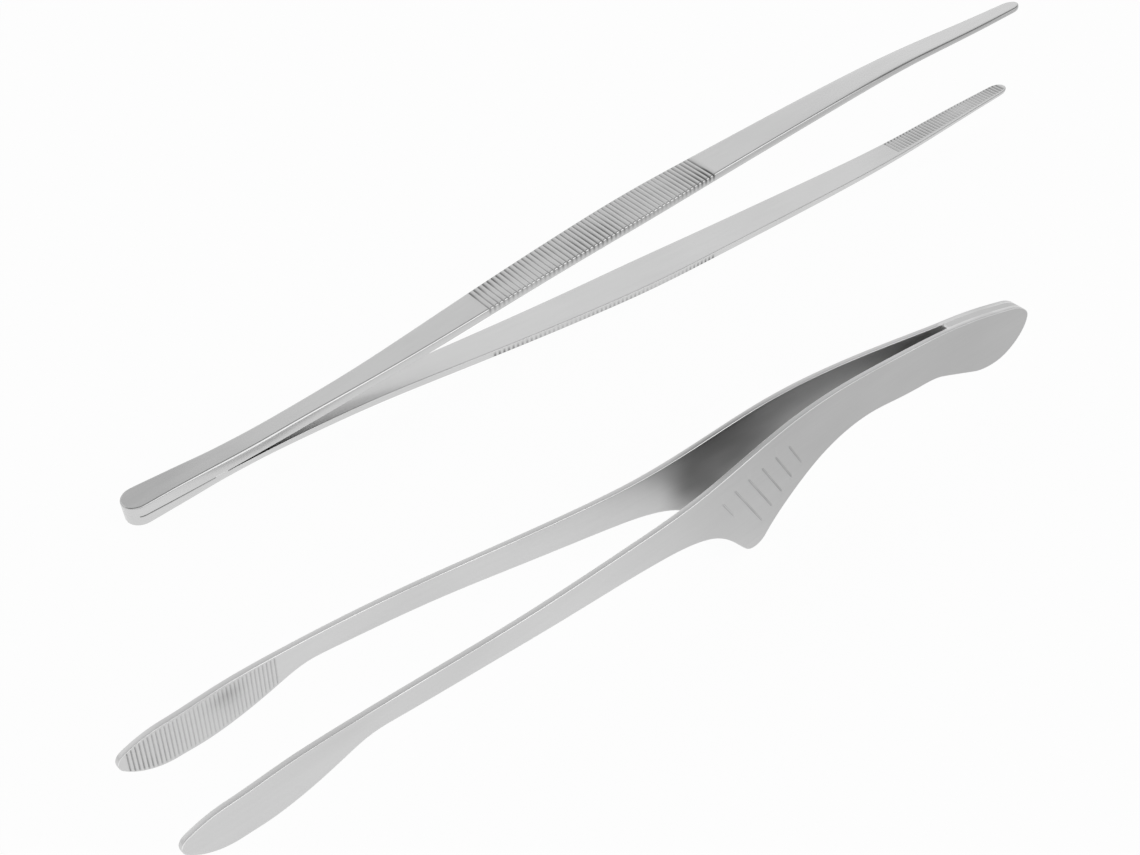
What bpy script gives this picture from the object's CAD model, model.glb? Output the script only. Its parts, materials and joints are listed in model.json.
"""Print tongs in stainless steel: long straight tweezers beside bent leaf tongs.

Each arm and each leaf is one unbroken strip here. It is drawn in millimetres in its tool's own frame,
x from butt to tips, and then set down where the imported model's joints say.
"""
import json
from math import atan2, cos, exp, hypot, pi, radians, sin

import bpy
import numpy as np
from mathutils import Matrix, Vector


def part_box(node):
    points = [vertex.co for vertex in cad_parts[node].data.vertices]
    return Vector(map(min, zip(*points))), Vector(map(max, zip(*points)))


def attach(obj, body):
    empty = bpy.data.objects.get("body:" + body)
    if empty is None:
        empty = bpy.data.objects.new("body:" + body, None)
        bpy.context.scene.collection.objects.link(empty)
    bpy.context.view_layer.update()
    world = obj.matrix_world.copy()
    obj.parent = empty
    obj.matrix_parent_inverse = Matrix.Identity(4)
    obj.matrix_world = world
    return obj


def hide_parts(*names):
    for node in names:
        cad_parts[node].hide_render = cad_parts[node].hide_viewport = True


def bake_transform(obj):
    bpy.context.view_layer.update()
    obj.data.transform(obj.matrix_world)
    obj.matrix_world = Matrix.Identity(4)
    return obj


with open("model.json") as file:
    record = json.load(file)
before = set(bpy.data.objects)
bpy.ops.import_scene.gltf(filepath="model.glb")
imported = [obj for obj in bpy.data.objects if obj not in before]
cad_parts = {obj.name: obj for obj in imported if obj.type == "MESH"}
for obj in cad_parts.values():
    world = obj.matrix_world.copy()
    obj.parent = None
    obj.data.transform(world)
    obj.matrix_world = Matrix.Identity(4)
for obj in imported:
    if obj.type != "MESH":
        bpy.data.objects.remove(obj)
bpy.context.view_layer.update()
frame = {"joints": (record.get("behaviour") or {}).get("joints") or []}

MM = 0.001

# ---------------------------------------------------------------- long tweezers, in millimetres
TWEEZERS_LENGTH = 300.0
TWEEZERS_FLEX = 68.0       # middle of an arm's bending stretch
BLADE_REACH = TWEEZERS_LENGTH - TWEEZERS_FLEX
SEAM_END = 24.4            # where the two arms part
SPLIT_WELD_LENGTH = 3.2
BUTT_WELD_LENGTH = 2.2
WELD_PROUD = 0.02          # how far a dressed weld stands out of the arms
WELD_EDGE = 4 * WELD_PROUD
BUTT_RADIUS = 3.85
BUTT_THICKNESS = 2.75
BLADE_THICKNESS = 2.10
TIP_THICKNESS = 1.20
TIP_ROUND_LENGTH = 4.0
TIP_HALF_WIDTH = 2.45

# Radii of an arm's rounded edges, and the stretch where the outer edge narrows towards the tip
OUTER_EDGE = 0.42
TIP_EDGE = 0.36
INNER_EDGE = 0.22
SEAM_EDGE = 0.24
EDGE_NARROWS = 0.60 * TWEEZERS_LENGTH, 0.85 * TWEEZERS_LENGTH

# How far the crowned outer face falls away at its edges, how suddenly, and where the crown grows
TIP_CROWN = 0.24
CROWN_POWER = 8
CROWN_GROWS = 0.62 * TWEEZERS_LENGTH, 0.85 * TWEEZERS_LENGTH

# Distance from the butt, half gap inside, thickness, half width inside, lean of each side
STATION = [
    (-1.0, -0.30, BUTT_THICKNESS + 0.30, BUTT_RADIUS, 0.15),
    (SEAM_END - 20.4, -0.30, BUTT_THICKNESS + 0.30, BUTT_RADIUS, 0.15),
    (SEAM_END - 14.4, -0.30, BUTT_THICKNESS + 0.28, BUTT_RADIUS, 0.48),
    (SEAM_END - 8.4, -0.22, BUTT_THICKNESS + 0.12, BUTT_RADIUS - 0.05, 0.70),
    (SEAM_END - 2.4, -0.06, BUTT_THICKNESS - 0.20, BUTT_RADIUS - 0.15, 0.85),
    (SEAM_END + 3.6, 0.15, BLADE_THICKNESS + 0.20, BUTT_RADIUS - 0.20, 0.90),
    (SEAM_END + 9.6, 0.30, BLADE_THICKNESS + 0.15, 3.58, 0.90),
    (SEAM_END + 17.6, 0.58, BLADE_THICKNESS + 0.25, 3.50, 0.85),
    (SEAM_END + 25.6, 1.00, BLADE_THICKNESS + 0.25, 3.50, 0.75),
    (TWEEZERS_FLEX - 4.0, 1.95, BLADE_THICKNESS + 0.15, 3.65, 0.50),
    (TWEEZERS_FLEX + 0.06 * BLADE_REACH, 3.70, BLADE_THICKNESS + 0.05, 4.15, 0.25),
    (TWEEZERS_FLEX + 0.16 * BLADE_REACH, 6.30, BLADE_THICKNESS, 4.80, 0.15),
    (TWEEZERS_FLEX + 0.267 * BLADE_REACH, 8.75, BLADE_THICKNESS, 5.45, 0.15),
    (TWEEZERS_FLEX + 0.362 * BLADE_REACH, 10.45, BLADE_THICKNESS, 5.80, 0.15),
    (TWEEZERS_FLEX + 0.448 * BLADE_REACH, 11.55, BLADE_THICKNESS, 5.45, 0.15),
    (TWEEZERS_FLEX + 0.547 * BLADE_REACH, 12.65, BLADE_THICKNESS, 4.95, 0.15),
    (TWEEZERS_FLEX + 0.655 * BLADE_REACH, 13.80, BLADE_THICKNESS - 0.10, 4.45, 0.15),
    (TWEEZERS_FLEX + 0.784 * BLADE_REACH, 14.60, BLADE_THICKNESS - 0.50, 3.80, 0.15),
    (TWEEZERS_FLEX + 0.897 * BLADE_REACH, 13.90, TIP_THICKNESS + 0.15, TIP_HALF_WIDTH + 0.70, 0.12),
    (TWEEZERS_LENGTH + 1.0, 13.45, TIP_THICKNESS, TIP_HALF_WIDTH - 0.15, 0.10),
]
HALF_GAP, THICKNESS, HALF_WIDTH, LEAN = range(4)

# Rows of grooves; at its spread away from the middle a groove has lost about two thirds of its depth
TOOTH_MARGIN = 1.9         # from the tip back to the last tooth groove
TOOTH_PITCH = 1.30
TOOTH_GROOVES = 38
GRIP = {"first": 98.9, "pitch": 1.41, "count": 53, "depth": 0.26, "spread": 0.26}
TEETH = {"first": TWEEZERS_LENGTH - TOOTH_MARGIN - (TOOTH_GROOVES - 1) * TOOTH_PITCH,
         "pitch": TOOTH_PITCH, "count": TOOTH_GROOVES, "depth": 0.26, "spread": 0.26}
TEETH_FAR_RIM = 0.93, 0.86     # where the tooth grooves begin, as shares of the half width
TEETH_NEAR_RIM = -0.74, -0.58  # and where they end, on the side of the leaf tongs

# Mesh columns of an arm: how far apart, how close at least, and at which shares of a groove's pitch
ARM_COLUMN_STEP = 2.5
LEAST_ARM_STEP = 0.05
GROOVE_COLUMNS = (-0.5, -0.4, -0.3, -0.2, -0.13, -0.065, 0.0, 0.065, 0.13, 0.2, 0.3, 0.4)
ARM_ROWS = (-1.0, -0.93, -0.86, -0.74, -0.58, -0.3, 0.0, 0.3, 0.58, 0.74, 0.86, 0.93, 1.0)

# How tarnished the steel is and from where to where that grows; below 0 it is brighter than elsewhere
WORN_GRIP = 0.9
WORN_GRIP_ENDS = 1.3
GRIP_ENDS_REACH = 18.0
WORN_TEETH = 1.0
DULL_BUTT = 0.35
DULL_BUTT_REACH = 62.0
TARNISHED_SEAM = SEAM_END + 4.0, SEAM_END
SHADED_TIP = 0.9
TIP_SHADE_GROWS = 0.70 * TWEEZERS_LENGTH, 0.82 * TWEEZERS_LENGTH
TIP_SHADE_TOP = 0.08, 0.16     # depths below the outer face where the shade on its edge begins
TIP_SHADE_FOOT = 0.42, 0.30    # and where it ends

# ---------------------------------------------------------------- leaf tongs, in millimetres
LEAF_LENGTH = 236.0
SHEET = 1.25
BLOCK_THICKNESS = 1.6
BLOCK_LENGTH = 31.2
BLOCK_END_ROUND = 0.7
HOOK_PLACE = 94.4          # lowest point of the resting hook, from the butt
LEAF_FLEX = 62.0           # middle of a leaf's bending stretch
LEAF_REACH = LEAF_LENGTH - BLOCK_LENGTH

# Radii of a leaf's rounded edges: free, and where it seats on the block
LEAF_EDGE = 0.16
SEATED_EDGE = 0.02
EDGE_GROWS = BLOCK_LENGTH, BLOCK_LENGTH + 2.0

SERRATION_MARGIN = 1.9     # from the tip back to the first groove
SERRATION_PITCH = 0.82
SERRATION_COUNT = 37
SERRATIONS = {"first": LEAF_LENGTH - SERRATION_MARGIN - (SERRATION_COUNT - 1) * SERRATION_PITCH,
              "pitch": SERRATION_PITCH, "count": SERRATION_COUNT, "depth": 0.16, "spread": 0.12}
PADDLE_RIM = 0.93, 0.86    # where the grooves begin, as shares of the half width

# Mesh columns of a leaf: at its round ends, along it, along the hook, and how close at least
NOSE_REACH, TIP_REACH = 3.0, 2.4
LEAF_COLUMN_STEP = 1.6
HOOK_COLUMNS = HOOK_PLACE - 5.0, HOOK_PLACE + 6.0, 0.5
LEAST_LEAF_STEP = 0.04
LEAF_ROWS = (-1.0, -0.93, -0.86, -0.5, 0.0, 0.5, 0.86, 0.93, 1.0)
BLOCK_ROWS = (-1.0, 0.0, 0.9, 1.0)

# How tarnished the steel is and from where to where that grows; below 0 it is brighter than elsewhere
WORN_PADDLE = 0.35
WORN_PADDLE_TIP = 1.0
PADDLE_WEAR_GROWS = LEAF_LENGTH - 18.0, LEAF_LENGTH - 4.0
SMUDGE = 0.7
SMUDGE_PLACE = LEAF_LENGTH - 21.0, 1.3   # along the leaf, and above the paddle's middle line
SMUDGE_SIZE = 3.0, 2.2
ROUGH_INSIDE = 0.75
ROUGH_GROWS = 55.0, HOOK_PLACE - 2.0
ROUGH_ENDS = HOOK_PLACE + 21.0, HOOK_PLACE + 12.0
TARNISHED_LINES = 0.5
BRIGHT_LEAF_EDGE = -0.8
BRIGHT_EDGE_BAND = 0.4     # the bright edge lies within this of the outline
BRIGHT_EDGE_DEPTHS = 0.005, 0.8 * LEAF_EDGE   # and this deep below the nearer face
BRIGHT_BLOCK_END = -0.8
BRIGHT_END_REACH = 0.3

LEAF_CURVE = [(BLOCK_LENGTH - 2.2, BLOCK_THICKNESS / 2)] + [
    (BLOCK_LENGTH + share * LEAF_REACH, BLOCK_THICKNESS / 2 + spread) for share, spread in (
        (0.048, 0.35), (0.106, 0.95), (0.204, 1.90), (0.297, 3.04), (0.395, 4.40), (0.522, 6.10),
        (0.658, 8.10), (0.805, 9.20), (1.01, 9.55))]

ENGRAVING_LEAN = 54.0
ENGRAVED_LINES = 5
LINE_STEP = (-3.56, 1.55)
LONGEST_LINE = 20.6
LINE_SHORTENING = 2.3
LONGEST_MIDDLE = (HOOK_PLACE + 4.7, -4.8)
SHORT_LINE = 9.0
SHORT_MIDDLE = (HOOK_PLACE + 11.6, -1.7)
CUTTER_RADIUS = 0.32
CUTTER_DEPTH = 0.14
CUTTER_POINT = 1.5         # length of the taper at each end of a line
CUTTER_POINT_SHARE = 0.3   # how thick the cutter is there
LINES_START, LINES_END = HOOK_PLACE - 25.0, HOOK_PLACE + 20.0
LINES_MARGIN = 0.8         # the lines stay further than this from the outline
LINES_SKIN = 0.03          # their points lie deeper than this below the outer face

# ---------------------------------------------------------------- finishes
# Streaks per metre across and along a strip
FINE_GRAIN = 2600.0, 90.0
COARSE_GRAIN = 900.0, 40.0
CLOUDS = 70.0, 35.0
CLOUD_TONE = 0.14
GRAIN_TONE = 0.06
TARNISH_TONE = 0.45
TARNISH_CLOUDS = 1.8
GRAIN_DEPTH = 0.00001
GRAIN_STRENGTH = 0.10

# ---------------------------------------------------------------- studio
CAMERA_FROM_BUTT = (-0.0795, -0.2575, 0.2391)
CAMERA_TURN = (radians(49.867), 0.0, radians(-38.714))
CAMERA_LENS = 48.95
WHITE = (1, 1, 1, 1)


# ---------------------------------------------------------------- curves
class Smooth:
    """A smooth curve through values given at rising places, with its ends free or at given slopes."""

    def __init__(self, places, values, end_slopes=None):
        self.t = np.array(places, float)
        self.v = np.array(values, float)
        step = np.diff(self.t)
        rise = np.diff(self.v, axis=0) / step.reshape(-1, *[1] * (self.v.ndim - 1))
        size = len(self.t)
        matrix = np.eye(size)
        right = np.zeros_like(self.v)
        for i in range(1, size - 1):
            matrix[i, i - 1:i + 2] = step[i - 1], 2 * (step[i - 1] + step[i]), step[i]
            right[i] = 6 * (rise[i] - rise[i - 1])
        if end_slopes is not None:
            matrix[0, :2] = 2 * step[0], step[0]
            right[0] = 6 * (rise[0] - np.array(end_slopes[0]))
            matrix[-1, -2:] = step[-1], 2 * step[-1]
            right[-1] = 6 * (np.array(end_slopes[1]) - rise[-1])
        self.bend = np.linalg.solve(matrix, right)

    def __call__(self, place):
        i = int(np.clip(np.searchsorted(self.t, place) - 1, 0, len(self.t) - 2))
        h = self.t[i + 1] - self.t[i]
        a = (self.t[i + 1] - place) / h
        b = 1 - a
        curve = ((a ** 3 - a) * self.bend[i] + (b ** 3 - b) * self.bend[i + 1]) * h * h / 6
        return a * self.v[i] + b * self.v[i + 1] + curve


def way_at(line, place):
    """Direction of a line of points as it goes through its point number place and the next."""
    return (Vector(line[place + 1]) - Vector(line[place])).normalized()


def smooth_line(points, start, end, count=120):
    """Points close together along the smooth curve through a few points, with its directions at the ends."""
    p = np.array(points, float)
    along = np.concatenate([[0.0], np.cumsum(np.linalg.norm(np.diff(p, axis=0), axis=1))])
    curve = Smooth(along, p, (start, end))
    return [tuple(curve(s)) for s in np.linspace(0, along[-1], count)]


def tangent_arc(start, end, direction, count=24):
    """Points along the arc that leaves start in a direction and reaches end."""
    chord, forward = Vector(end) - Vector(start), Vector(direction).normalized()
    across = Vector((-forward.y, forward.x))
    aside = chord.dot(across)
    middle = Vector(start) + across * chord.length_squared / (2 * aside)
    turn = 2 * atan2(aside, chord.dot(forward))
    spoke = Vector(start) - middle
    return [tuple(middle + Matrix.Rotation(turn * i / (count - 1), 2) @ spoke) for i in range(count)]


def arc_line(start, via, end, count=24):
    """Points along the arc from start through via to end."""
    (ax, ay), (bx, by), (cx, cy) = start, via, end
    d = 2 * (ax * (by - cy) + bx * (cy - ay) + cx * (ay - by))
    a2, b2, c2 = ax * ax + ay * ay, bx * bx + by * by, cx * cx + cy * cy
    middle_x = (a2 * (by - cy) + b2 * (cy - ay) + c2 * (ay - by)) / d
    middle_y = (a2 * (cx - bx) + b2 * (ax - cx) + c2 * (bx - ax)) / d
    radius = hypot(ax - middle_x, ay - middle_y)
    first, passing, last = (atan2(y - middle_y, x - middle_x) for x, y in (start, via, end))
    turn = (last - first) % (2 * pi)
    if (passing - first) % (2 * pi) > turn:
        turn -= 2 * pi
    angles = [first + turn * i / (count - 1) for i in range(count)]
    return [(middle_x + radius * cos(angle), middle_y + radius * sin(angle)) for angle in angles]


def height_on(line):
    """Height of a line of points at any x between its ends."""
    xs, zs = zip(*sorted(line))
    return lambda x: float(np.interp(x, xs, zs))


def thinned(places, least):
    """Sorted places with those closer than least to the one before left out."""
    kept = []
    for place in sorted(places):
        if not kept or place - kept[-1] >= least:
            kept.append(place)
    return kept


def groove_places(row):
    """Places for mesh columns along a row of grooves, closest together at each groove."""
    return [row["first"] + (i + share) * row["pitch"]
            for i in range(row["count"]) for share in GROOVE_COLUMNS]


def groove_drop(x, row):
    """How far a grooved face lies below its smooth form at x; the ridges between grooves are round."""
    nearest = min(max(round((x - row["first"]) / row["pitch"]), 0), row["count"] - 1)
    away = x - row["first"] - nearest * row["pitch"]
    return row["depth"] * exp(-(away / row["spread"]) ** 2)


def dullness(drop, row):
    """How tarnish gathers in a groove: none on the ridges and 1 at the bottom."""
    return (drop / row["depth"]) ** 0.5


def fade(value, start, end):
    """0 before start, 1 after end, and smooth between; start may be the larger."""
    share = min(max((value - start) / (end - start), 0.0), 1.0)
    return share * share * (3 - 2 * share)


# ---------------------------------------------------------------- strips
ARC_STEPS = (0.0, 0.25, 0.5, 0.75, 1.0)   # shares of the turn of a rounded edge
ROUND_END = [1 - cos(radians(angle)) for angle in range(9, 90, 9)]   # shares of a round end's length
SHARPEST_SMOOTH = radians(38)             # edges that turn more than this stay sharp


def rings(first_radius, second_radius):
    """Rings up a strip's edge as (inset share, depth share, face): a round corner, a wall, a round corner.

    Depth share counts from the first face (face 0) or back from the second (face 1), in radii.
    """
    quarter = [(1 - sin(step * pi / 2), 1 - cos(step * pi / 2)) for step in ARC_STEPS]
    lower = [(inset, depth, 0) for inset, depth in quarter] if first_radius else [(0.0, 0.0, 0)]
    upper = [(inset, depth, 1) for inset, depth in reversed(quarter)] if second_radius else [(0.0, 0.0, 1)]
    return lower + upper


def strip(name, columns, rows, outline, body, radii):
    """A strip of metal: a grid drawn up ring by ring, then stretched to its outline and formed.

    outline(x, across) is a point of the flat outline at a column and a share across, -1 to 1.
    body(u, w, depth, face) takes a point of the flat strip to its place; depth counts from that face.
    radii holds, for each face, the edge radius as a function of x, or None for a sharp edge.
    """
    levels = rings(*radii)
    bpy.ops.object.select_all(action="DESELECT")
    bpy.ops.mesh.primitive_grid_add(x_subdivisions=len(columns) - 1, y_subdivisions=len(rows) - 1, size=2)
    piece = bpy.context.object
    piece.name = name
    piece.data.name = name
    bpy.ops.object.mode_set(mode="EDIT")
    bpy.ops.mesh.select_all(action="SELECT")
    for _ in levels[1:]:
        bpy.ops.mesh.extrude_region_move(TRANSFORM_OT_translate={"value": (0, 0, 1)})
    bpy.ops.object.mode_set(mode="OBJECT")
    last_column, last_row = len(columns) - 1, len(rows) - 1
    rim = rim_points(columns, rows, outline)
    for vertex in piece.data.vertices:
        i = round((vertex.co.x + 1) / 2 * last_column)
        j = round((vertex.co.y + 1) / 2 * last_row)
        inset, depth, face = levels[round(vertex.co.z)]
        radius = radii[face](columns[i]) if radii[face] else 0.0
        if (i, j) in rim:
            point, inward = rim[i, j]
            point = point + inward * inset * radius
        else:
            sides = [rim[i, side][0] + rim[i, side][1] * inset * radius for side in (0, last_row)]
            share = (rows[j] + 1) / 2
            point = sides[0] * (1 - share) + sides[1] * share
        vertex.co = body(point.x, point.y, depth * radius, face)
    face_outwards(piece)
    return piece


def mark_tarnish(piece, tarnish_at):
    """Stores how tarnished each point of a piece is, for the finish to read."""
    marks = piece.data.attributes.new("tarnish", "FLOAT", "POINT")
    for vertex, mark in zip(piece.data.vertices, marks.data):
        mark.value = tarnish_at(vertex)


def rim_points(columns, rows, outline):
    """Each rim point of a strip's grid as (place, direction inwards), by column and row."""
    last_column, last_row = len(columns) - 1, len(rows) - 1
    order = [(i, 0) for i in range(last_column)]
    order += [(last_column, j) for j in range(last_row)]
    order += [(i, last_row) for i in range(last_column, 0, -1)]
    order += [(0, j) for j in range(last_row, 0, -1)]
    places = [Vector(outline(columns[i], rows[j])) for i, j in order]
    rim = {}
    for k, spot in enumerate(order):
        before, here, after = places[k - 1], places[k], places[(k + 1) % len(places)]
        forward = ((here - before).normalized() + (after - here).normalized()).normalized()
        rim[spot] = here, Vector((-forward.y, forward.x))
    return rim


def face_outwards(piece):
    """Turns every face of a closed piece outwards."""
    bpy.ops.object.select_all(action="DESELECT")
    piece.select_set(True)
    bpy.context.view_layer.objects.active = piece
    bpy.ops.object.mode_set(mode="EDIT")
    bpy.ops.mesh.select_all(action="SELECT")
    bpy.ops.mesh.normals_make_consistent(inside=False)
    bpy.ops.object.mode_set(mode="OBJECT")


def mirrored(piece, name, axis):
    """A copy of a strip for the other side of its tool."""
    bpy.ops.object.select_all(action="DESELECT")
    other = piece.copy()
    other.data = piece.data.copy()
    other.name = name
    other.data.name = name
    bpy.context.collection.objects.link(other)
    other.data.transform(Matrix.Scale(-1, 4, axis))
    face_outwards(other)
    return other


def joint(name):
    """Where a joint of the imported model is, and its axis."""
    found = next(j for j in frame["joints"] if j["name"] == name)
    return Vector(found["pos_m"]), Vector(found["axis"])


def tool_place(side, up, middle, reach):
    """The matrix that sets a tool down: middle is on its middle line, reach millimetres from its butt."""
    forward = side.cross(up)
    butt = middle - forward * reach * MM
    turn = Matrix((forward, side, up)).transposed().to_4x4()
    return Matrix.Translation(butt) @ turn @ Matrix.Scale(MM, 4)


def placed(piece, place):
    """Sets a strip down at its place in the model, in metres, smooth but for its real edges."""
    piece.data.transform(place)
    bpy.ops.object.select_all(action="DESELECT")
    piece.select_set(True)
    bpy.context.view_layer.objects.active = piece
    bpy.ops.object.shade_smooth_by_angle(angle=SHARPEST_SMOOTH)
    return piece


# ---------------------------------------------------------------- long tweezers
def tweezers_columns():
    """Places along an arm where its mesh has a column of points."""
    places = [BUTT_RADIUS * share for share in ROUND_END]
    places += list(np.arange(BUTT_RADIUS, TWEEZERS_LENGTH - TIP_ROUND_LENGTH, ARM_COLUMN_STEP))
    places += groove_places(GRIP) + groove_places(TEETH)
    places = [x for x in places if x < TWEEZERS_LENGTH - TIP_ROUND_LENGTH * ROUND_END[0]]
    places += [TWEEZERS_LENGTH - TIP_ROUND_LENGTH * share for share in ROUND_END]
    return thinned(places, LEAST_ARM_STEP)


def tweezers_plan(x, half_width):
    """Half width of an arm at x, with its ends rounded in plan."""
    from_tip = TWEEZERS_LENGTH - x
    if x < BUTT_RADIUS:
        return min(half_width, (BUTT_RADIUS ** 2 - (BUTT_RADIUS - x) ** 2) ** 0.5)
    if from_tip < TIP_ROUND_LENGTH:
        return min(half_width, TIP_HALF_WIDTH * (1 - (1 - from_tip / TIP_ROUND_LENGTH) ** 2) ** 0.5)
    return half_width


def arm_stations():
    """An arm's half gap, thickness, half width and lean as one smooth function of x."""
    return Smooth([row[0] for row in STATION], [row[1:] for row in STATION])


def tweezers_arm():
    """The upper arm: ribbed grip on the outer face, teeth on the inner face at the tip."""
    station = arm_stations()
    grip_start, grip_end = GRIP["first"], GRIP["first"] + GRIP["count"] * GRIP["pitch"]

    def outline(x, across):
        return x, across * tweezers_plan(x, station(x)[HALF_WIDTH])

    def body(x, y, depth, face):
        values = station(x)
        inner, outer = max(values[HALF_GAP], 0.0), values[HALF_GAP] + values[THICKNESS]
        crown = TIP_CROWN * fade(x, *CROWN_GROWS)
        outer -= crown * (y / tweezers_plan(x, values[HALF_WIDTH])) ** CROWN_POWER
        height = outer - depth if face else inner + depth
        lean = values[LEAN] / values[HALF_WIDTH] * (height - inner) / (outer - inner)
        return x, y * (1 - lean), height

    def inner_edge(x):
        return SEAM_EDGE + (INNER_EDGE - SEAM_EDGE) * fade(x, SEAM_END, 2 * SEAM_END)

    def outer_edge(x):
        return OUTER_EDGE + (TIP_EDGE - OUTER_EDGE) * fade(x, *EDGE_NARROWS)

    def groove(vertex):
        """Sinks a point into the groove that it lies in, and tells how tarnished the steel is there."""
        x, y, z = vertex.co
        values = station(x)
        inner, outer = values[HALF_GAP], values[HALF_GAP] + values[THICKNESS]
        outside = z > outer - values[THICKNESS] / 2
        if outside and grip_start - 1 < x < grip_end:
            drop = groove_drop(x, GRIP)
            vertex.co.z = min(z, outer - drop)
            at_ends = fade(min(x - grip_start, grip_end - x), GRIP_ENDS_REACH, 0.0)
            return dullness(drop, GRIP) * (WORN_GRIP + (WORN_GRIP_ENDS - WORN_GRIP) * at_ends)
        if outside:
            butt = fade(x, DULL_BUTT_REACH, 0.0) * fade(outer - z, OUTER_EDGE, 0.0)
            edge = fade(outer - z, *TIP_SHADE_TOP) * fade(outer - z, *TIP_SHADE_FOOT)
            return DULL_BUTT * butt + SHADED_TIP * fade(x, *TIP_SHADE_GROWS) * edge
        if x > TEETH["first"] - 1:
            share = y / tweezers_plan(x, values[HALF_WIDTH])
            drop = groove_drop(x, TEETH) * fade(share, *TEETH_FAR_RIM) * fade(share, *TEETH_NEAR_RIM)
            vertex.co.z = max(z, inner + drop)
            return dullness(drop, TEETH) * WORN_TEETH
        return fade(z, SEAM_EDGE, 0.0) * fade(x, *TARNISHED_SEAM)

    arm = strip("tweezers_upper_arm", tweezers_columns(), ARM_ROWS, outline, body, (inner_edge, outer_edge))
    mark_tarnish(arm, groove)
    return arm


def weld(name, start, end):
    """A weld between the two arms, dressed nearly flush with their sides."""
    station = arm_stations()
    steps = 9
    least_start = BUTT_RADIUS * 0.012     # where the butt's round end has some width
    reach = SEAM_EDGE + WELD_PROUD
    columns = [start + (end - start) * (1 - cos(pi * i / steps)) / 2 for i in range(steps + 1)]
    columns[0] = max(columns[0], least_start)

    def outline(x, across):
        return x, across * (tweezers_plan(x, station(x)[HALF_WIDTH]) + WELD_PROUD)

    def body(x, y, depth, face):
        values = station(x)
        lean = values[LEAN] / values[HALF_WIDTH] * (reach - depth) / values[THICKNESS]
        return x, y * (1 - lean), reach - depth if face else depth - reach

    def edge(x):
        return WELD_EDGE

    return strip(name, columns, (-1.0, -0.5, 0.0, 0.5, 1.0), outline, body, (edge, edge))


# ---------------------------------------------------------------- leaf tongs
def leaf_edges():
    """The leaf's upper and lower outline as two lines of points, from the nose to the tip."""
    hook, tip_x = HOOK_PLACE, LEAF_LENGTH
    neck, paddle = hook + 33.6, tip_x - 43.0

    def shank_x(share):
        return neck + share * (paddle - neck)

    nose, brow, chin = (0.0, -1.2), (1.2, 1.4), (1.4, -5.6)
    belly, heel, cusp = (10.0, -10.4), (18.5, -9.15), (BLOCK_LENGTH, -4.6)
    back_start, back_end = (7.5, 4.6), (tip_x - 9.5, 5.4)
    hook_start, hook_end = (hook - 3.0, -17.35), (hook + 3.8, -17.9)
    tip_above, tip_below, paddle_end = (tip_x - 1.32, 3.16), (tip_x - 0.69, -0.61), (tip_x - 11.0, -4.5)

    front = tangent_arc(nose, chin, (0, -1))
    under = tangent_arc(chin, belly, way_at(front, -2))
    rise = tangent_arc(belly, heel, way_at(under, -2))
    run = tangent_arc(heel, cusp, way_at(rise, -2))
    bend = arc_line(hook_start, (hook + 0.4, -19.25), hook_end)
    end = arc_line(tip_below, (tip_x, 1.05), tip_above, 60)
    toe = tangent_arc(tip_below, paddle_end, -way_at(end, 0))
    crown = tangent_arc(tip_above, back_end, way_at(end, -2))
    forehead = tangent_arc(nose, brow, (0, 1))
    shoulder = tangent_arc(brow, back_start, way_at(forehead, -2))
    grip = smooth_line([
        cusp, (40.0, -3.3), (49.0, -2.3), (57.0, -1.25), (hook - 29.4, -1.5), (hook - 20.4, -4.0),
        (hook - 9.4, -11.0), hook_start], way_at(run, -2), way_at(bend, 0))
    shank = smooth_line([
        hook_end, (hook + 8.6, -12.8), (hook + 14.6, -8.0), (hook + 21.6, -5.2), (neck, -3.2),
        (shank_x(0.34), -1.25), (shank_x(0.71), 0.8), (paddle, 1.8), (tip_x - 37.5, 1.75),
        (tip_x - 31.0, -0.3), (tip_x - 22.0, -3.2), (tip_x - 15.0, -4.35), paddle_end],
        way_at(bend, -2), -way_at(toe, -2), 200)
    back = smooth_line([
        back_start, (21.0, 7.45), (31.0, 8.85), (49.0, 10.7), (hook - 31.4, 11.8), (hook - 20.4, 12.15),
        (hook - 6.4, 11.35), (hook + 5.6, 9.35), (hook + 17.6, 7.15), (hook + 26.6, 6.1),
        (shank_x(0.09), 5.75), (shank_x(0.34), 5.95), (shank_x(0.65), 6.65), (shank_x(0.92), 7.3),
        (tip_x - 33.0, 7.35), (tip_x - 20.0, 6.7), back_end],
        way_at(shoulder, -2), -way_at(crown, -2), 240)
    furthest = max(range(len(end)), key=lambda i: end[i][0])
    upper = forehead + shoulder + back + crown[::-1] + end[:furthest - 1:-1]
    lower = front + under + rise + run + grip + bend + shank + toe[::-1] + end[:furthest + 1]
    return upper, lower


def leaf_columns():
    """Places along a leaf where its mesh has a column of points."""
    places = [NOSE_REACH * share for share in ROUND_END]
    places += list(np.arange(NOSE_REACH, LEAF_LENGTH - TIP_REACH, LEAF_COLUMN_STEP)) + [BLOCK_LENGTH]
    places += list(np.arange(*HOOK_COLUMNS))
    places += groove_places(SERRATIONS)
    places = [x for x in places if x < LEAF_LENGTH - TIP_REACH * ROUND_END[0]]
    places += [LEAF_LENGTH - TIP_REACH * share for share in ROUND_END]
    return thinned(places, LEAST_LEAF_STEP)


def leaf_gap():
    """Half gap between the leaves as a function of the distance from the butt."""
    curve = Smooth([x for x, _ in LEAF_CURVE], [y for _, y in LEAF_CURVE], (0.0, 0.0))
    return lambda x: float(curve(x)) if x > LEAF_CURVE[0][0] else BLOCK_THICKNESS / 2


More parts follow.
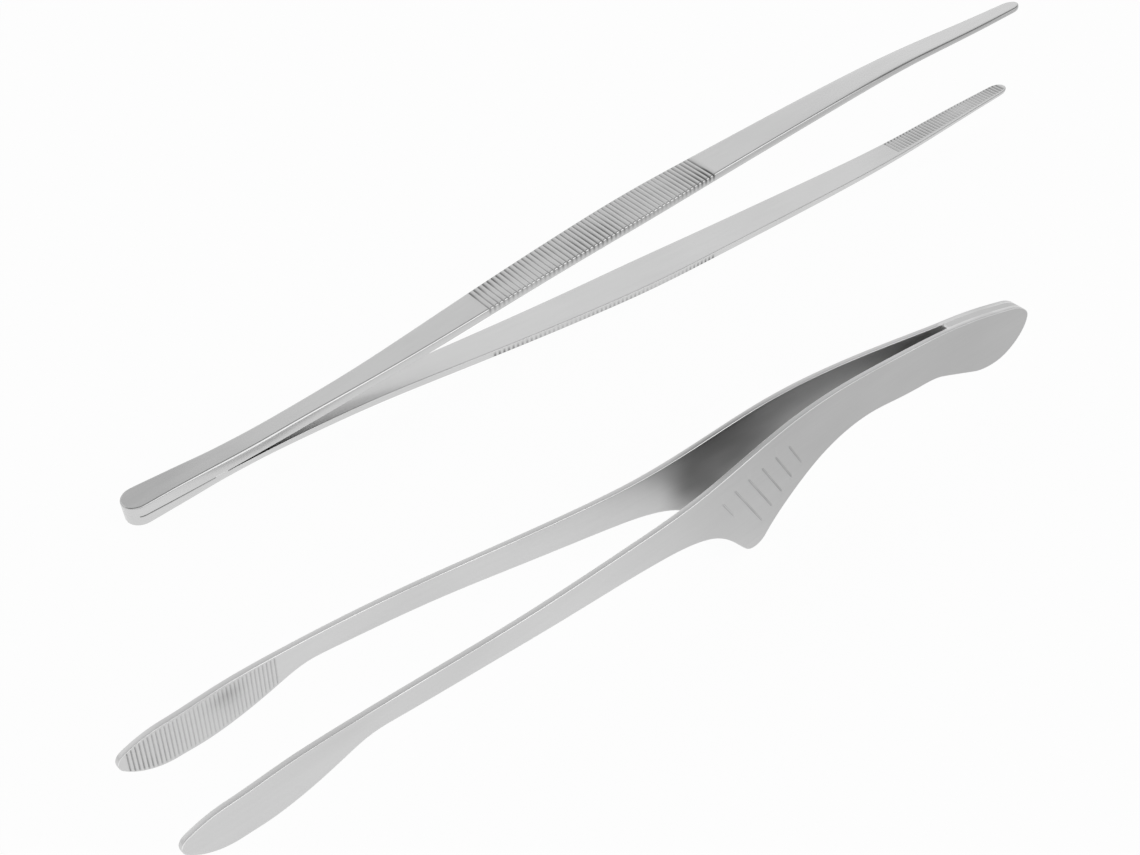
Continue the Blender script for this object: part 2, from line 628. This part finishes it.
def engraving_cutter(middle, length, gap):
    """A slim round bar with pointed ends, sunk into the leaf's outer face along one engraved line."""
    x, z = middle
    bpy.ops.object.select_all(action="DESELECT")
    bpy.ops.mesh.primitive_cylinder_add(vertices=16, radius=CUTTER_RADIUS, depth=length - 2 * CUTTER_POINT)
    bar = bpy.context.object
    bpy.ops.object.mode_set(mode="EDIT")
    for side in (1, -1):
        bpy.ops.mesh.select_all(action="DESELECT")
        bpy.ops.object.mode_set(mode="OBJECT")
        for face in bar.data.polygons:
            face.select = face.normal.z * side > 0.9
        bpy.ops.object.mode_set(mode="EDIT")
        bpy.ops.mesh.extrude_region_move(TRANSFORM_OT_translate={"value": (0, 0, CUTTER_POINT * side)})
        bpy.ops.transform.resize(value=(CUTTER_POINT_SHARE, CUTTER_POINT_SHARE, 1.0))
    bpy.ops.object.mode_set(mode="OBJECT")
    along_line = Matrix.Rotation(radians(90.0 - ENGRAVING_LEAN), 4, "Y")
    step = 4.0
    bend = atan2(gap(x + step) - gap(x - step), 2 * step)
    face = gap(x) + SHEET
    sink = CUTTER_RADIUS - CUTTER_DEPTH
    bar.data.transform(Matrix.Translation((x, face + sink, z)) @ Matrix.Rotation(bend, 4, "Z") @ along_line)
    return bar


def engraved(leaf, gap):
    """Cuts the short line and the five longer ones into the leaf's outer face."""
    lines = [(SHORT_MIDDLE, SHORT_LINE)]
    for i in range(ENGRAVED_LINES):
        middle = (LONGEST_MIDDLE[0] + i * LINE_STEP[0], LONGEST_MIDDLE[1] + i * LINE_STEP[1])
        lines.append((middle, LONGEST_LINE - i * LINE_SHORTENING))
    bars = [engraving_cutter(middle, length, gap) for middle, length in lines]
    bpy.ops.object.select_all(action="DESELECT")
    for bar in bars:
        bar.select_set(True)
    bpy.context.view_layer.objects.active = bars[0]
    bpy.ops.object.join()
    cutter = bpy.context.object
    cut = leaf.modifiers.new("engraving", "BOOLEAN")
    cut.operation = "DIFFERENCE"
    cut.solver = "EXACT"
    cut.object = cutter
    bpy.ops.object.select_all(action="DESELECT")
    leaf.select_set(True)
    bpy.context.view_layer.objects.active = leaf
    bpy.ops.object.modifier_apply(modifier=cut.name)
    bpy.data.objects.remove(cutter, do_unlink=True)


def leaf():
    """The left leaf, with hook, cusp, engraved lines and the grooved paddle."""
    upper, lower = leaf_edges()
    top, bottom, gap = height_on(upper), height_on(lower), leaf_gap()

    def outline(x, across):
        return x, bottom(x) + (across + 1) / 2 * (top(x) - bottom(x))

    def body(x, z, depth, face):
        return x, gap(x) + SHEET - depth if face else gap(x) + depth, z

    def inner_edge(x):
        return SEATED_EDGE + (LEAF_EDGE - SEATED_EDGE) * fade(x, *EDGE_GROWS)

    def outer_edge(x):
        return LEAF_EDGE

    def serrate(vertex):
        """Sinks a point into the groove that it lies in, and tells how tarnished the steel is there."""
        x, y, z = vertex.co
        middle, half = (top(x) + bottom(x)) / 2, (top(x) - bottom(x)) / 2
        depth = min(gap(x) + SHEET - y, y - gap(x))
        on_edge = BRIGHT_EDGE_DEPTHS[0] < depth < BRIGHT_EDGE_DEPTHS[1]
        if on_edge and half - abs(z - middle) < BRIGHT_EDGE_BAND:
            return BRIGHT_LEAF_EDGE
        if y > gap(x) + SHEET / 2:
            return 0.0
        if x < SERRATIONS["first"] - 1:
            return ROUGH_INSIDE * fade(x, *ROUGH_GROWS) * fade(x, *ROUGH_ENDS)
        drop = groove_drop(x, SERRATIONS) * fade(abs(z - middle) / half, *PADDLE_RIM)
        vertex.co.y = max(y, gap(x) + drop)
        wear = WORN_PADDLE + (WORN_PADDLE_TIP - WORN_PADDLE) * fade(x, *PADDLE_WEAR_GROWS)
        along = (x - SMUDGE_PLACE[0]) / SMUDGE_SIZE[0]
        above = (z - middle - SMUDGE_PLACE[1]) / SMUDGE_SIZE[1]
        return dullness(drop, SERRATIONS) * wear + SMUDGE * exp(-along ** 2 - above ** 2)

    piece = strip("leaf_left", leaf_columns(), LEAF_ROWS, outline, body, (inner_edge, outer_edge))
    mark_tarnish(piece, serrate)
    engraved(piece, gap)
    for vertex, mark in zip(piece.data.vertices, piece.data.attributes["tarnish"].data):
        x, y, z = vertex.co
        in_outline = LINES_START < x < LINES_END and bottom(x) + LINES_MARGIN < z < top(x) - LINES_MARGIN
        if in_outline and LINES_SKIN < gap(x) + SHEET - y < SHEET / 2:
            mark.value = TARNISHED_LINES
    return piece


def spacer_block():
    """The solid block that joins the leaves at the butt, ground flush with them."""
    upper, lower = leaf_edges()
    top, bottom = height_on(upper), height_on(lower)
    half = BLOCK_THICKNESS / 2
    round_start = BLOCK_LENGTH - BLOCK_END_ROUND

    def outline(x, across):
        into_round = max(x - BLOCK_LENGTH + BLOCK_END_ROUND, 0.0)
        drop = BLOCK_END_ROUND - (BLOCK_END_ROUND ** 2 - into_round ** 2) ** 0.5
        return x, bottom(x) + (across + 1) / 2 * (top(x) - drop - bottom(x))

    def body(x, z, depth, face):
        return x, half if face else -half, z

    def bright_end(vertex):
        return BRIGHT_BLOCK_END * fade(vertex.co.x, round_start, round_start + BRIGHT_END_REACH)

    columns = [x for x in leaf_columns() if x < round_start]
    columns += [round_start + BLOCK_END_ROUND * sin(radians(angle)) for angle in range(0, 91, 15)]
    block = strip("leaf_block", columns, BLOCK_ROWS, outline, body, (None, None))
    mark_tarnish(block, bright_end)
    return block


# ---------------------------------------------------------------- finishes
class Value:
    """A shader socket that takes part in Python expressions; each operation adds a Math node."""

    def __init__(self, tree, socket):
        self.tree, self.socket = tree, socket

    def _math(self, operation, one, two):
        node = self.tree.nodes.new("ShaderNodeMath")
        node.operation = operation
        for slot, value in zip(node.inputs, (one, two)):
            if isinstance(value, Value):
                self.tree.links.new(value.socket, slot)
            else:
                slot.default_value = value
        return Value(self.tree, node.outputs[0])

    def twin(self, name):
        """Another output of the node that this value comes from."""
        return Value(self.tree, self.socket.node.outputs[name])

    def __add__(self, other):
        return self._math("ADD", self, other)

    def __sub__(self, other):
        return self._math("SUBTRACT", self, other)

    def __rsub__(self, other):
        return self._math("SUBTRACT", other, self)

    def __mul__(self, other):
        return self._math("MULTIPLY", self, other)

    __radd__ = __add__
    __rmul__ = __mul__


class Nodes:
    """A node tree under construction."""

    def __init__(self, tree):
        self.tree = tree

    def node(self, kind, settings=None, sockets=None, output=0):
        """Adds a node with its settings and socket values or links, and gives one of its outputs."""
        made = self.tree.nodes.new(kind)
        for key, value in (settings or {}).items():
            setattr(made, key, value)
        for key, value in (sockets or {}).items():
            self.feed(made.inputs[key], value)
        return Value(self.tree, made.outputs[output]) if made.outputs else None

    def feed(self, socket, value):
        if isinstance(value, Value):
            self.tree.links.new(value.socket, socket)
        else:
            socket.default_value = value

    def ramp(self, value, starts, ends):
        """Goes smoothly from one level to another as a value goes from one number to another."""
        return self.node("ShaderNodeMapRange", {"interpolation_type": "SMOOTHSTEP"},
                         {"Value": value, "From Min": starts[0], "To Min": starts[1],
                          "From Max": ends[0], "To Max": ends[1]})


class Finish(Nodes):
    """A material under construction."""

    def __init__(self, name):
        self.material = bpy.data.materials.new(name)
        self.material.use_nodes = True
        super().__init__(self.material.node_tree)
        self.shader = self.tree.nodes["Principled BSDF"]

    def set(self, **sockets):
        """Sets the shader's sockets; underscores stand for spaces."""
        for key, value in sockets.items():
            self.feed(self.shader.inputs[key.replace("_", " ").title()], value)

    def streaks(self, heading, across, along, detail=3.0):
        """Noise drawn out along a direction on the ground plane; across and along are per metre."""
        place = self.node("ShaderNodeTexCoord", output="Object")
        size = (1 / along, 1 / across, 1 / across)
        turned = self.node("ShaderNodeMapping", {"vector_type": "TEXTURE"},
                           {"Vector": place, "Rotation": (0, 0, heading), "Scale": size})
        return self.node("ShaderNodeTexNoise", None, {"Vector": turned, "Scale": 1.0, "Detail": detail})


def steel(name, heading, shade, roughness, grain, cloud):
    """Stainless steel with a lengthwise grain and faint cloudy patches in its polish."""
    finish = Finish(name)
    fine = finish.streaks(heading, *FINE_GRAIN)
    coarse = finish.streaks(heading, *COARSE_GRAIN)
    patches = finish.streaks(heading, *CLOUDS, detail=2.0)
    finish.set(metallic=1.0, roughness=roughness + (fine - 0.5) * grain + (patches - 0.5) * cloud)
    tarnish = finish.node("ShaderNodeAttribute", {"attribute_name": "tarnish"}, output="Fac")
    tone = 1.0 + (patches - 0.5) * CLOUD_TONE + (coarse - 0.5) * GRAIN_TONE
    tone = tone - tarnish * (TARNISH_TONE + (patches - 0.5) * TARNISH_CLOUDS)
    colour = finish.node("ShaderNodeVectorMath", {"operation": "SCALE"}, {0: shade, "Scale": tone})
    finish.set(base_color=colour)
    height = fine * 0.5 + coarse * 0.5
    bump = finish.node("ShaderNodeBump", None,
                       {"Strength": GRAIN_STRENGTH, "Distance": GRAIN_DEPTH, "Height": height})
    finish.set(normal=bump)
    return finish.material


# ---------------------------------------------------------------- studio
def studio_floor():
    """A pale floor that the eye sees as white, with the tools' soft shadow left on it.

    In the metal it is a little darker than white, and darkest around the leaf tongs' butt.
    """
    plain_white = 0.96     # the rest is real paper, which takes the shadow
    bpy.ops.mesh.primitive_plane_add(size=6.0)
    floor = bpy.context.object
    floor.name = "floor"
    finish = Finish("floor_paper")
    finish.set(base_color=(0.82, 0.82, 0.82, 1.0), roughness=0.9)
    to_eye = finish.node("ShaderNodeLightPath", output="Is Camera Ray")
    to_metal = to_eye.twin("Is Glossy Ray")
    seen = finish.node("ShaderNodeMath", {"operation": "MAXIMUM"}, {0: to_eye, 1: to_metal})
    place = finish.node("ShaderNodeTexCoord", output="Object")
    x = finish.node("ShaderNodeSeparateXYZ", None, {"Vector": place}, output="X")
    y = x.twin("Y")
    shade = 0.94 - finish.ramp(x, (-0.07, 0.0), (0.01, 0.28)) * finish.ramp(y, (-0.02, 1.0), (0.03, 0.0))
    strength = to_eye + (1 - to_eye) * shade
    white = finish.node("ShaderNodeEmission", None, {"Color": WHITE, "Strength": strength})
    paper = Value(finish.tree, finish.shader.outputs["BSDF"])
    mixed = finish.node("ShaderNodeMixShader", None, {0: seen * plain_white, 1: paper, 2: white})
    finish.feed(finish.tree.nodes["Material Output"].inputs["Surface"], mixed)
    floor.data.materials.append(finish.material)


def studio_sky():
    """White to the eye; for light and reflections a pale room with a dark beam overhead."""
    world = bpy.data.worlds.new("studio")
    bpy.context.scene.world = world
    world.use_nodes = True
    world.node_tree.nodes.clear()
    sky = Nodes(world.node_tree)
    way = sky.node("ShaderNodeTexCoord", output="Generated")
    y = sky.node("ShaderNodeSeparateXYZ", None, {"Vector": way}, output="Y")
    z = y.twin("Z")
    # The wall is dim at the floor and brightest from a fifth to half way up; the beam runs along x
    wall = sky.ramp(z, (0.04, 0.40), (0.20, 0.98)) * sky.ramp(z, (0.50, 1.0), (0.68, 0.82))
    beam = sky.ramp(y, (-0.45, 0.0), (-0.20, 1.0)) * sky.ramp(y, (0.25, 1.0), (0.46, 0.0))
    beam = beam * sky.ramp(z, (0.2, 0.0), (0.45, 1.0))
    light = wall * (1 - beam * 0.68)
    room = sky.node("ShaderNodeBackground", None, {"Color": WHITE, "Strength": light})
    white = sky.node("ShaderNodeBackground", None, {"Color": WHITE})
    to_eye = sky.node("ShaderNodeLightPath", output="Is Camera Ray")
    mixer = sky.node("ShaderNodeMixShader", None, {0: to_eye, 1: room, 2: white})
    sky.node("ShaderNodeOutputWorld", None, {"Surface": mixer})


def softbox(name, place, aim, size, power):
    """A large soft lamp at place that shines towards aim; lengths in metres, power in watts."""
    lamp = bpy.data.lights.new(name, "AREA")
    lamp.shape = "RECTANGLE"
    lamp.size, lamp.size_y = size
    lamp.energy = power
    holder = bpy.data.objects.new(name, lamp)
    bpy.context.collection.objects.link(holder)
    holder.location = place
    holder.rotation_euler = (Vector(aim) - Vector(place)).to_track_quat("-Z", "Y").to_euler()


def studio_camera():
    """Looks along the tools from above the tweezers' butt."""
    low = (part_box("tweezers_upper_root")[0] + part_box("tweezers_lower_root")[0]) / 2
    middle_y = (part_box("tweezers_upper_root")[0].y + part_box("tweezers_upper_root")[1].y) / 2
    butt = Vector((low.x, middle_y, 0.0))
    lens = bpy.data.cameras.new("camera")
    lens.sensor_width = 36.0
    lens.lens = CAMERA_LENS
    lens.clip_start = 0.01
    camera = bpy.data.objects.new("camera", lens)
    bpy.context.collection.objects.link(camera)
    camera.location = butt + Vector(CAMERA_FROM_BUTT)
    camera.rotation_euler = CAMERA_TURN
    bpy.context.scene.camera = camera


# ---------------------------------------------------------------- the set
def dress(piece, material, nodes):
    """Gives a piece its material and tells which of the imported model's nodes it stands for."""
    piece.data.materials.clear()
    piece.data.materials.append(material)
    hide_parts(*nodes)


def bending(piece):
    """The strip bends between its root and its blade, as far as half on each side of middle."""
    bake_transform(piece)


def long_tweezers():
    """The two arms and the two welds, set down by the tweezers' hinges."""
    upper_hinge, side = joint("tweezers_upper_flex")
    lower_hinge, _ = joint("tweezers_lower_flex")
    up = (upper_hinge - lower_hinge).normalized()
    place = tool_place(side, up, (upper_hinge + lower_hinge) / 2, TWEEZERS_FLEX)
    polished = steel("polished_steel", heading=0.0, shade=(0.66, 0.66, 0.66), roughness=0.24,
                     grain=0.06, cloud=0.06)
    upper = tweezers_arm()
    lower = mirrored(upper, "tweezers_lower_arm", Vector((0, 0, 1)))
    for piece, name in ((upper, "upper"), (lower, "lower")):
        placed(piece, place)
        dress(piece, polished, [f"tweezers_{name}_root", f"tweezers_{name}_blade"])
        bending(piece)
    welds = {"tweezers_split_weld": (SEAM_END - SPLIT_WELD_LENGTH, SEAM_END),
             "tweezers_butt_weld": (0.0, BUTT_WELD_LENGTH)}
    for node, (start, end) in welds.items():
        piece = placed(weld(node + "_bead", start, end), place)
        dress(piece, polished, [node])
        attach(piece, "tweezers_butt")


def leaf_tongs():
    """The two leaves and the block between them, set down by the leaf tongs' hinges."""
    left_hinge, _ = joint("leaf_left_flex")
    right_hinge, up = joint("leaf_right_flex")
    side = (left_hinge - right_hinge).normalized()
    place = tool_place(side, up, (left_hinge + right_hinge) / 2, LEAF_FLEX)
    satin = steel("satin_steel", heading=radians(1.2), shade=(0.69, 0.69, 0.69), roughness=0.39,
                  grain=0.05, cloud=0.06)
    left = leaf()
    right = mirrored(left, "leaf_right", Vector((0, 1, 0)))
    for piece, name in ((left, "left"), (right, "right")):
        placed(piece, place)
        dress(piece, satin, [f"leaf_{name}_root", f"leaf_{name}_blade"])
        bending(piece)
    block = placed(spacer_block(), place)
    dress(block, satin, ["leaf_spacer_block"])
    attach(block, "leaf_butt")


long_tweezers()
leaf_tongs()
studio_floor()
studio_sky()
softbox("key", place=(-0.55, 0.60, 0.85), aim=(0.0, 0.0, 0.0), size=(0.9, 0.7), power=0.3)
softbox("fill", place=(0.40, -1.00, 0.70), aim=(0.0, 0.0, 0.0), size=(1.0, 1.1), power=2.0)
studio_camera()

scene = bpy.context.scene
scene.view_settings.view_transform = "Standard"
